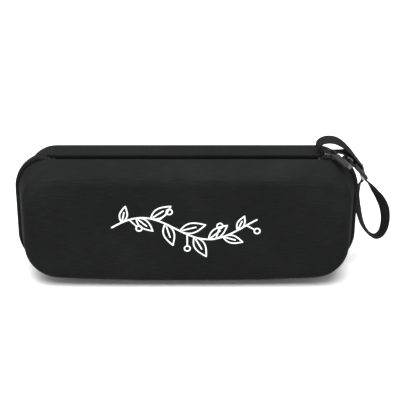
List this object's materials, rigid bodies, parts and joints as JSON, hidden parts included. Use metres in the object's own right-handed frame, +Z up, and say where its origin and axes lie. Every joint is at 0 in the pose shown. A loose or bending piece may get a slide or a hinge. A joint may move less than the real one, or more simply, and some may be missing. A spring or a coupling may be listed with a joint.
{
  "type": "zipped hard case",
  "caption": "Moulded hard case for a stethoscope, with a fabric hinge, a zip with two sliders, a wrist strap and a mesh pocket.",
  "frame": {"origin": "middle of the flat on the lower zip edge, on the surface the case stands on", "axes": "+X along the case towards the wrist strap, +Z up to the fabric hinge, -Y out of the lid's face"},
  "size_m": [0.3208, 0.074, 0.1195],
  "materials": {
    "shell_fabric": "moulded, fine woven cover",
    "lining_fabric": "brushed",
    "tape_fabric": "woven",
    "zip_teeth": "satin",
    "slider_metal": "gunmetal",
    "link_metal": "gunmetal",
    "grip_rubber": "matt",
    "webbing": "ribbed weave",
    "clamp_metal": "satin",
    "mesh": "net",
    "elastic": "ribbed",
    "hook_and_loop": "napped"
  },
  "bodies": {
    "base": {"base_shell": "shell_fabric", "base_lining": "lining_fabric", "base_edge_binding": "elastic", "base_zip_tape": "tape_fabric", "base_zip_teeth": "zip_teeth", "hinge_strip": "tape_fabric", "zip_end_left": "zip_teeth", "zip_end_right": "zip_teeth", "zip_stop_left": "slider_metal", "zip_stop_right": "slider_metal", "strap_arch": "webbing", "wrist_loop": "webbing", "strap_clamp": "clamp_metal", "tie_strap_lower": "hook_and_loop", "tie_strap_upper": "hook_and_loop"},
    "lid": {"lid_shell": "shell_fabric", "lid_lining": "lining_fabric", "lid_edge_binding": "elastic", "lid_zip_tape": "tape_fabric", "lid_zip_teeth": "zip_teeth", "lid_net": "mesh", "lid_net_band": "elastic"},
    "front_zip_slider": {"front_slider": "slider_metal"},
    "front_pull": {"front_pull_link": "link_metal", "front_pull_grip": "grip_rubber"},
    "corner_zip_slider": {"corner_slider": "slider_metal"},
    "corner_pull": {"corner_pull_link": "link_metal", "corner_pull_grip": "grip_rubber"}
  },
  "joints": [
    {"name": "lid_hinge", "type": "hinge", "parent": "base", "child": "lid", "pos_m": [0, 0, 0.1111], "axis": [-1, 0, 0], "range_deg": [0, 180], "deforming": ["hinge_strip", "zip_end_left", "zip_end_right", "strap_arch"]},
    {"name": "front_slider_travel", "type": "hinge", "parent": "lid", "child": "front_zip_slider", "pos_m": [0.115, 0, 0.0801], "axis": [0, 1, 0], "range_deg": [0, 5]},
    {"name": "corner_slider_travel", "type": "hinge", "parent": "base", "child": "corner_zip_slider", "pos_m": [0.115, 0, 0.0801], "axis": [0, 1, 0], "range_deg": [0, 40]},
    {"name": "front_pull_swivel", "type": "hinge", "parent": "front_zip_slider", "child": "front_pull", "pos_m": [0.12011, 0, 0.11237], "axis": [0.1564, 0, 0.9877], "range_deg": [0, 25]},
    {"name": "corner_pull_flip", "type": "hinge", "parent": "corner_zip_slider", "child": "corner_pull", "pos_m": [0.13686, 0, 0.10438], "axis": [0, -1, 0], "range_deg": [0, 90]}
  ]
}
